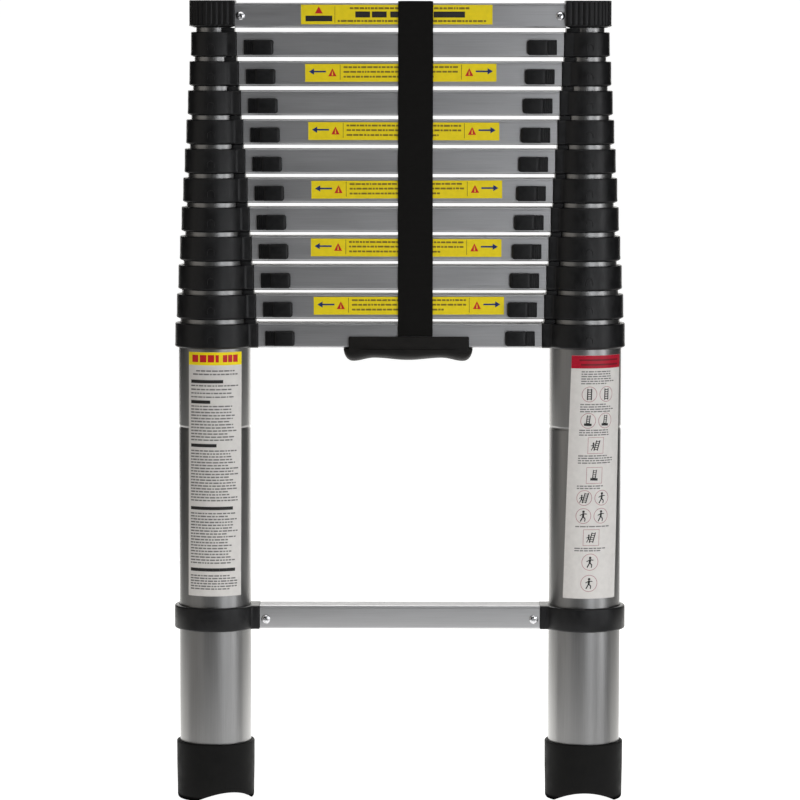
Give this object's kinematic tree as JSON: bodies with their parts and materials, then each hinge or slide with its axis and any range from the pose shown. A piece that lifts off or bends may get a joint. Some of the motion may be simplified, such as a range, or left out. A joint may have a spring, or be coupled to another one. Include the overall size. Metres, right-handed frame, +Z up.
{
  "type": "telescoping ladder",
  "caption": "Freestanding-width telescoping ladder, closed: nested round stiles with black collars, flat rungs with thumb latches, fixed lower rung, rubber feet, end caps, strap and hand grip.",
  "frame": {"origin": "on the floor, midway between the feet", "axes": "+Z up, -Y is the front that the thumb latches face, +X to the right seen from the front"},
  "size_m": [0.4962, 0.0896, 0.8774],
  "materials": {
    "stile_aluminium": "satin anodised",
    "rung_aluminium": "satin extruded",
    "collar_plastic": "fine moulded grain",
    "latch_plastic": "moulded, slightly glossy",
    "grip_plastic": "soft moulded",
    "foot_rubber": "matte rubber",
    "strap_webbing": "woven webbing",
    "screw_chrome": "bright plated",
    "spring_steel": "drawn wire",
    "rung_sticker": "printed film",
    "stile_label": "printed film"
  },
  "bodies": {
    "section_01": {"stile_01_left": "stile_aluminium", "stile_01_right": "stile_aluminium", "rung_01": "rung_aluminium", "lower_rung": "rung_aluminium", "foot_left": "foot_rubber", "foot_right": "foot_rubber"},
    "section_02": {"stile_02_left": "stile_aluminium", "stile_02_right": "stile_aluminium", "rung_02": "rung_aluminium"},
    "section_03": {"stile_03_left": "stile_aluminium", "stile_03_right": "stile_aluminium", "rung_03": "rung_aluminium"},
    "section_04": {"stile_04_left": "stile_aluminium", "stile_04_right": "stile_aluminium", "rung_04": "rung_aluminium"},
    "section_05": {"stile_05_left": "stile_aluminium", "stile_05_right": "stile_aluminium", "rung_05": "rung_aluminium"},
    "section_06": {"stile_06_left": "stile_aluminium", "stile_06_right": "stile_aluminium", "rung_06": "rung_aluminium"},
    "section_07": {"stile_07_left": "stile_aluminium", "stile_07_right": "stile_aluminium", "rung_07": "rung_aluminium"},
    "section_08": {"stile_08_left": "stile_aluminium", "stile_08_right": "stile_aluminium", "rung_08": "rung_aluminium"},
    "section_09": {"stile_09_left": "stile_aluminium", "stile_09_right": "stile_aluminium", "rung_09": "rung_aluminium"},
    "section_10": {"stile_10_left": "stile_aluminium", "stile_10_right": "stile_aluminium", "rung_10": "rung_aluminium"},
    "section_11": {"stile_11_left": "stile_aluminium", "stile_11_right": "stile_aluminium", "rung_11": "rung_aluminium"},
    "section_12": {"top_frame": "rung_aluminium", "strap": "strap_webbing"},
    "latch_01_left": {"latch_01_left": "latch_plastic"},
    "latch_01_right": {"latch_01_right": "latch_plastic"},
    "latch_02_left": {"latch_02_left": "latch_plastic"},
    "latch_02_right": {"latch_02_right": "latch_plastic"},
    "latch_03_left": {"latch_03_left": "latch_plastic"},
    "latch_03_right": {"latch_03_right": "latch_plastic"},
    "latch_04_left": {"latch_04_left": "latch_plastic"},
    "latch_04_right": {"latch_04_right": "latch_plastic"},
    "latch_05_left": {"latch_05_left": "latch_plastic"},
    "latch_05_right": {"latch_05_right": "latch_plastic"},
    "latch_06_left": {"latch_06_left": "latch_plastic"},
    "latch_06_right": {"latch_06_right": "latch_plastic"},
    "latch_07_left": {"latch_07_left": "latch_plastic"},
    "latch_07_right": {"latch_07_right": "latch_plastic"},
    "latch_08_left": {"latch_08_left": "latch_plastic"},
    "latch_08_right": {"latch_08_right": "latch_plastic"},
    "latch_09_left": {"latch_09_left": "latch_plastic"},
    "latch_09_right": {"latch_09_right": "latch_plastic"},
    "latch_10_left": {"latch_10_left": "latch_plastic"},
    "latch_10_right": {"latch_10_right": "latch_plastic"},
    "latch_11_left": {"latch_11_left": "latch_plastic"},
    "latch_11_right": {"latch_11_right": "latch_plastic"}
  },
  "joints": [
    {"name": "extend_02", "type": "slide", "parent": "section_01", "child": "section_02", "axis": [0, 0, 1], "range_m": [0, 0.2665]},
    {"name": "extend_03", "type": "slide", "parent": "section_02", "child": "section_03", "axis": [0, 0, 1], "range_m": [0, 0.2665]},
    {"name": "extend_04", "type": "slide", "parent": "section_03", "child": "section_04", "axis": [0, 0, 1], "range_m": [0, 0.2665]},
    {"name": "extend_05", "type": "slide", "parent": "section_04", "child": "section_05", "axis": [0, 0, 1], "range_m": [0, 0.2665]},
    {"name": "extend_06", "type": "slide", "parent": "section_05", "child": "section_06", "axis": [0, 0, 1], "range_m": [0, 0.2665]},
    {"name": "extend_07", "type": "slide", "parent": "section_06", "child": "section_07", "axis": [0, 0, 1], "range_m": [0, 0.2665]},
    {"name": "extend_08", "type": "slide", "parent": "section_07", "child": "section_08", "axis": [0, 0, 1], "range_m": [0, 0.2665]},
    {"name": "extend_09", "type": "slide", "parent": "section_08", "child": "section_09", "axis": [0, 0, 1], "range_m": [0, 0.2665]},
    {"name": "extend_10", "type": "slide", "parent": "section_09", "child": "section_10", "axis": [0, 0, 1], "range_m": [0, 0.2665]},
    {"name": "extend_11", "type": "slide", "parent": "section_10", "child": "section_11", "axis": [0, 0, 1], "range_m": [0, 0.2665]},
    {"name": "extend_12", "type": "slide", "parent": "section_11", "child": "section_12", "axis": [0, 0, 1], "range_m": [0, 0.2665]},
    {"name": "latch_01_left_press", "type": "slide", "parent": "section_01", "child": "latch_01_left", "axis": [1, 0, 0], "range_m": [0, 0.008], "stiffness_N_per_m": 400, "springref_m": -0.006},
    {"name": "latch_01_right_press", "type": "slide", "parent": "section_01", "child": "latch_01_right", "axis": [-1, 0, 0], "range_m": [0, 0.008], "stiffness_N_per_m": 400, "springref_m": -0.006},
    {"name": "latch_02_left_press", "type": "slide", "parent": "section_02", "child": "latch_02_left", "axis": [1, 0, 0], "range_m": [0, 0.008], "stiffness_N_per_m": 400, "springref_m": -0.006},
    {"name": "latch_02_right_press", "type": "slide", "parent": "section_02", "child": "latch_02_right", "axis": [-1, 0, 0], "range_m": [0, 0.008], "stiffness_N_per_m": 400, "springref_m": -0.006},
    {"name": "latch_03_left_press", "type": "slide", "parent": "section_03", "child": "latch_03_left", "axis": [1, 0, 0], "range_m": [0, 0.008], "stiffness_N_per_m": 400, "springref_m": -0.006},
    {"name": "latch_03_right_press", "type": "slide", "parent": "section_03", "child": "latch_03_right", "axis": [-1, 0, 0], "range_m": [0, 0.008], "stiffness_N_per_m": 400, "springref_m": -0.006},
    {"name": "latch_04_left_press", "type": "slide", "parent": "section_04", "child": "latch_04_left", "axis": [1, 0, 0], "range_m": [0, 0.008], "stiffness_N_per_m": 400, "springref_m": -0.006},
    {"name": "latch_04_right_press", "type": "slide", "parent": "section_04", "child": "latch_04_right", "axis": [-1, 0, 0], "range_m": [0, 0.008], "stiffness_N_per_m": 400, "springref_m": -0.006},
    {"name": "latch_05_left_press", "type": "slide", "parent": "section_05", "child": "latch_05_left", "axis": [1, 0, 0], "range_m": [0, 0.008], "stiffness_N_per_m": 400, "springref_m": -0.006},
    {"name": "latch_05_right_press", "type": "slide", "parent": "section_05", "child": "latch_05_right", "axis": [-1, 0, 0], "range_m": [0, 0.008], "stiffness_N_per_m": 400, "springref_m": -0.006},
    {"name": "latch_06_left_press", "type": "slide", "parent": "section_06", "child": "latch_06_left", "axis": [1, 0, 0], "range_m": [0, 0.008], "stiffness_N_per_m": 400, "springref_m": -0.006},
    {"name": "latch_06_right_press", "type": "slide", "parent": "section_06", "child": "latch_06_right", "axis": [-1, 0, 0], "range_m": [0, 0.008], "stiffness_N_per_m": 400, "springref_m": -0.006},
    {"name": "latch_07_left_press", "type": "slide", "parent": "section_07", "child": "latch_07_left", "axis": [1, 0, 0], "range_m": [0, 0.008], "stiffness_N_per_m": 400, "springref_m": -0.006},
    {"name": "latch_07_right_press", "type": "slide", "parent": "section_07", "child": "latch_07_right", "axis": [-1, 0, 0], "range_m": [0, 0.008], "stiffness_N_per_m": 400, "springref_m": -0.006},
    {"name": "latch_08_left_press", "type": "slide", "parent": "section_08", "child": "latch_08_left", "axis": [1, 0, 0], "range_m": [0, 0.008], "stiffness_N_per_m": 400, "springref_m": -0.006},
    {"name": "latch_08_right_press", "type": "slide", "parent": "section_08", "child": "latch_08_right", "axis": [-1, 0, 0], "range_m": [0, 0.008], "stiffness_N_per_m": 400, "springref_m": -0.006},
    {"name": "latch_09_left_press", "type": "slide", "parent": "section_09", "child": "latch_09_left", "axis": [1, 0, 0], "range_m": [0, 0.008], "stiffness_N_per_m": 400, "springref_m": -0.006},
    {"name": "latch_09_right_press", "type": "slide", "parent": "section_09", "child": "latch_09_right", "axis": [-1, 0, 0], "range_m": [0, 0.008], "stiffness_N_per_m": 400, "springref_m": -0.006},
    {"name": "latch_10_left_press", "type": "slide", "parent": "section_10", "child": "latch_10_left", "axis": [1, 0, 0], "range_m": [0, 0.008], "stiffness_N_per_m": 400, "springref_m": -0.006},
    {"name": "latch_10_right_press", "type": "slide", "parent": "section_10", "child": "latch_10_right", "axis": [-1, 0, 0], "range_m": [0, 0.008], "stiffness_N_per_m": 400, "springref_m": -0.006},
    {"name": "latch_11_left_press", "type": "slide", "parent": "section_11", "child": "latch_11_left", "axis": [1, 0, 0], "range_m": [0, 0.008], "stiffness_N_per_m": 400, "springref_m": -0.006},
    {"name": "latch_11_right_press", "type": "slide", "parent": "section_11", "child": "latch_11_right", "axis": [-1, 0, 0], "range_m": [0, 0.008], "stiffness_N_per_m": 400, "springref_m": -0.006}
  ]
}
